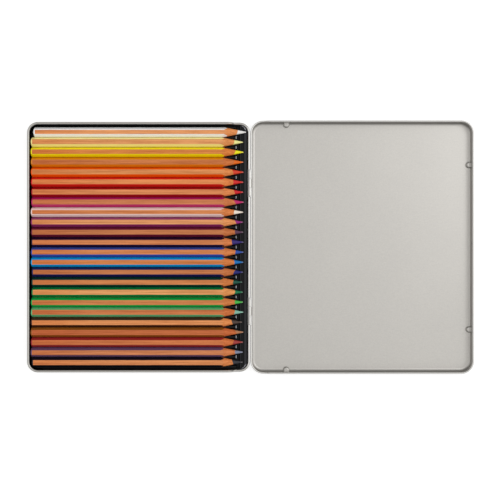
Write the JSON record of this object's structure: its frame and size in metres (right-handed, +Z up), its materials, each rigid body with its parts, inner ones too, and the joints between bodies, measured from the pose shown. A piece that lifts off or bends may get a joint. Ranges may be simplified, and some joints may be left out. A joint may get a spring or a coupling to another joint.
{
  "type": "colored pencil box",
  "caption": "Flat hinged metal tin, open, with a row of sharpened hexagonal colour pencils in a formed black tray.",
  "frame": {"origin": "on the table, midway between the front of the base and the front of the open lid", "axes": "+X from the pencils' blunt ends over the hinge line to the front of the open lid, +Y along the hinge line towards the lightest pencil, +Z up"},
  "size_m": [0.3655, 0.2074, 0.011],
  "materials": {
    "tinplate": "bare satin tinplate with a fine grain along the box",
    "steel_pin": "drawn steel wire",
    "black_plastic": "thin vacuum-formed black plastic, glossy",
    "cedar_white": "clear cedar with every other flat and the blunt end painted white, satin",
    "core_white": "waxy white colour core, sharpened",
    "cedar_cream_yellow": "clear cedar with every other flat and the blunt end painted cream yellow, satin",
    "core_cream_yellow": "waxy cream yellow colour core, sharpened",
    "cedar_yellow": "clear cedar with every other flat and the blunt end painted yellow, satin",
    "core_yellow": "waxy yellow colour core, sharpened",
    "cedar_orange": "clear cedar with every other flat and the blunt end painted orange, satin",
    "core_orange": "waxy orange colour core, sharpened",
    "cedar_vermilion": "clear cedar with every other flat and the blunt end painted vermilion, satin",
    "core_vermilion": "waxy vermilion colour core, sharpened",
    "cedar_red": "clear cedar with every other flat and the blunt end painted red, satin",
    "core_red": "waxy red colour core, sharpened",
    "cedar_carmine": "clear cedar with every other flat and the blunt end painted carmine, satin",
    "core_carmine": "waxy carmine colour core, sharpened",
    "cedar_magenta": "clear cedar with every other flat and the blunt end painted magenta, satin",
    "core_magenta": "waxy magenta colour core, sharpened",
    "cedar_rose": "clear cedar with every other flat and the blunt end painted rose, satin",
    "core_rose": "waxy rose colour core, sharpened",
    "cedar_violet": "clear cedar with every other flat and the blunt end painted violet, satin",
    "core_violet": "waxy violet colour core, sharpened",
    "cedar_aubergine": "clear cedar with every other flat and the blunt end painted aubergine, satin",
    "core_aubergine": "waxy aubergine colour core, sharpened",
    "cedar_indigo": "clear cedar with every other flat and the blunt end painted indigo, satin",
    "core_indigo": "waxy indigo colour core, sharpened",
    "cedar_ultramarine": "clear cedar with every other flat and the blunt end painted ultramarine, satin",
    "core_ultramarine": "waxy ultramarine colour core, sharpened",
    "cedar_sky_blue": "clear cedar with every other flat and the blunt end painted sky blue, satin",
    "core_sky_blue": "waxy sky blue colour core, sharpened",
    "cedar_navy": "clear cedar with every other flat and the blunt end painted navy, satin",
    "core_navy": "waxy navy colour core, sharpened",
    "cedar_pine_green": "clear cedar with every other flat and the blunt end painted pine green, satin",
    "core_pine_green": "waxy pine green colour core, sharpened",
    "cedar_emerald": "clear cedar with every other flat and the blunt end painted emerald, satin",
    "core_emerald": "waxy emerald colour core, sharpened",
    "cedar_leaf_green": "clear cedar with every other flat and the blunt end painted leaf green, satin",
    "core_leaf_green": "waxy leaf green colour core, sharpened",
    "cedar_sage_green": "clear cedar with every other flat and the blunt end painted sage green, satin",
    "core_sage_green": "waxy sage green colour core, sharpened",
    "cedar_umber": "clear cedar with every other flat and the blunt end painted umber, satin",
    "core_umber": "waxy umber colour core, sharpened",
    "cedar_sienna": "clear cedar with every other flat and the blunt end painted sienna, satin",
    "core_sienna": "waxy sienna colour core, sharpened",
    "cedar_brick": "clear cedar with every other flat and the blunt end painted brick, satin",
    "core_brick": "waxy brick colour core, sharpened",
    "cedar_slate_grey": "clear cedar with every other flat and the blunt end painted slate grey, satin",
    "core_slate_grey": "waxy slate grey colour core, sharpened",
    "cedar_black": "clear cedar with every other flat and the blunt end painted black, satin",
    "core_black": "waxy black colour core, sharpened"
  },
  "bodies": {
    "base": {"base_shell": "tinplate", "left_hinge_pin": "steel_pin", "right_hinge_pin": "steel_pin"},
    "lid": {"lid_shell": "tinplate"},
    "insert": {"insert_tray": "black_plastic"},
    "pencil_01": {"pencil_01_barrel": "cedar_white", "pencil_01_core": "core_white"},
    "pencil_02": {"pencil_02_barrel": "cedar_cream_yellow", "pencil_02_core": "core_cream_yellow"},
    "pencil_03": {"pencil_03_barrel": "cedar_yellow", "pencil_03_core": "core_yellow"},
    "pencil_04": {"pencil_04_barrel": "cedar_orange", "pencil_04_core": "core_orange"},
    "pencil_05": {"pencil_05_barrel": "cedar_vermilion", "pencil_05_core": "core_vermilion"},
    "pencil_06": {"pencil_06_barrel": "cedar_red", "pencil_06_core": "core_red"},
    "pencil_07": {"pencil_07_barrel": "cedar_carmine", "pencil_07_core": "core_carmine"},
    "pencil_08": {"pencil_08_barrel": "cedar_magenta", "pencil_08_core": "core_magenta"},
    "pencil_09": {"pencil_09_barrel": "cedar_rose", "pencil_09_core": "core_rose"},
    "pencil_10": {"pencil_10_barrel": "cedar_violet", "pencil_10_core": "core_violet"},
    "pencil_11": {"pencil_11_barrel": "cedar_aubergine", "pencil_11_core": "core_aubergine"},
    "pencil_12": {"pencil_12_barrel": "cedar_indigo", "pencil_12_core": "core_indigo"},
    "pencil_13": {"pencil_13_barrel": "cedar_ultramarine", "pencil_13_core": "core_ultramarine"},
    "pencil_14": {"pencil_14_barrel": "cedar_sky_blue", "pencil_14_core": "core_sky_blue"},
    "pencil_15": {"pencil_15_barrel": "cedar_navy", "pencil_15_core": "core_navy"},
    "pencil_16": {"pencil_16_barrel": "cedar_pine_green", "pencil_16_core": "core_pine_green"},
    "pencil_17": {"pencil_17_barrel": "cedar_emerald", "pencil_17_core": "core_emerald"},
    "pencil_18": {"pencil_18_barrel": "cedar_leaf_green", "pencil_18_core": "core_leaf_green"},
    "pencil_19": {"pencil_19_barrel": "cedar_sage_green", "pencil_19_core": "core_sage_green"},
    "pencil_20": {"pencil_20_barrel": "cedar_umber", "pencil_20_core": "core_umber"},
    "pencil_21": {"pencil_21_barrel": "cedar_sienna", "pencil_21_core": "core_sienna"},
    "pencil_22": {"pencil_22_barrel": "cedar_brick", "pencil_22_core": "core_brick"},
    "pencil_23": {"pencil_23_barrel": "cedar_slate_grey", "pencil_23_core": "core_slate_grey"},
    "pencil_24": {"pencil_24_barrel": "cedar_black", "pencil_24_core": "core_black"}
  },
  "joints": [
    {"name": "lid_hinge", "type": "hinge", "parent": "base", "child": "lid", "pos_m": [-0.00065, 0, 0.007], "axis": [0, 1, 0], "range_deg": [-180, 0]},
    {"name": "insert_lift", "type": "slide", "parent": "base", "child": "insert", "axis": [0, 0, 1], "range_m": [0, 0.03]},
    {"name": "pencil_01_lift", "type": "slide", "parent": "insert", "child": "pencil_01", "axis": [0, 0, 1], "range_m": [0, 0.03]},
    {"name": "pencil_02_lift", "type": "slide", "parent": "insert", "child": "pencil_02", "axis": [0, 0, 1], "range_m": [0, 0.03]},
    {"name": "pencil_03_lift", "type": "slide", "parent": "insert", "child": "pencil_03", "axis": [0, 0, 1], "range_m": [0, 0.03]},
    {"name": "pencil_04_lift", "type": "slide", "parent": "insert", "child": "pencil_04", "axis": [0, 0, 1], "range_m": [0, 0.03]},
    {"name": "pencil_05_lift", "type": "slide", "parent": "insert", "child": "pencil_05", "axis": [0, 0, 1], "range_m": [0, 0.03]},
    {"name": "pencil_06_lift", "type": "slide", "parent": "insert", "child": "pencil_06", "axis": [0, 0, 1], "range_m": [0, 0.03]},
    {"name": "pencil_07_lift", "type": "slide", "parent": "insert", "child": "pencil_07", "axis": [0, 0, 1], "range_m": [0, 0.03]},
    {"name": "pencil_08_lift", "type": "slide", "parent": "insert", "child": "pencil_08", "axis": [0, 0, 1], "range_m": [0, 0.03]},
    {"name": "pencil_09_lift", "type": "slide", "parent": "insert", "child": "pencil_09", "axis": [0, 0, 1], "range_m": [0, 0.03]},
    {"name": "pencil_10_lift", "type": "slide", "parent": "insert", "child": "pencil_10", "axis": [0, 0, 1], "range_m": [0, 0.03]},
    {"name": "pencil_11_lift", "type": "slide", "parent": "insert", "child": "pencil_11", "axis": [0, 0, 1], "range_m": [0, 0.03]},
    {"name": "pencil_12_lift", "type": "slide", "parent": "insert", "child": "pencil_12", "axis": [0, 0, 1], "range_m": [0, 0.03]},
    {"name": "pencil_13_lift", "type": "slide", "parent": "insert", "child": "pencil_13", "axis": [0, 0, 1], "range_m": [0, 0.03]},
    {"name": "pencil_14_lift", "type": "slide", "parent": "insert", "child": "pencil_14", "axis": [0, 0, 1], "range_m": [0, 0.03]},
    {"name": "pencil_15_lift", "type": "slide", "parent": "insert", "child": "pencil_15", "axis": [0, 0, 1], "range_m": [0, 0.03]},
    {"name": "pencil_16_lift", "type": "slide", "parent": "insert", "child": "pencil_16", "axis": [0, 0, 1], "range_m": [0, 0.03]},
    {"name": "pencil_17_lift", "type": "slide", "parent": "insert", "child": "pencil_17", "axis": [0, 0, 1], "range_m": [0, 0.03]},
    {"name": "pencil_18_lift", "type": "slide", "parent": "insert", "child": "pencil_18", "axis": [0, 0, 1], "range_m": [0, 0.03]},
    {"name": "pencil_19_lift", "type": "slide", "parent": "insert", "child": "pencil_19", "axis": [0, 0, 1], "range_m": [0, 0.03]},
    {"name": "pencil_20_lift", "type": "slide", "parent": "insert", "child": "pencil_20", "axis": [0, 0, 1], "range_m": [0, 0.03]},
    {"name": "pencil_21_lift", "type": "slide", "parent": "insert", "child": "pencil_21", "axis": [0, 0, 1], "range_m": [0, 0.03]},
    {"name": "pencil_22_lift", "type": "slide", "parent": "insert", "child": "pencil_22", "axis": [0, 0, 1], "range_m": [0, 0.03]},
    {"name": "pencil_23_lift", "type": "slide", "parent": "insert", "child": "pencil_23", "axis": [0, 0, 1], "range_m": [0, 0.03]},
    {"name": "pencil_24_lift", "type": "slide", "parent": "insert", "child": "pencil_24", "axis": [0, 0, 1], "range_m": [0, 0.03]}
  ]
}
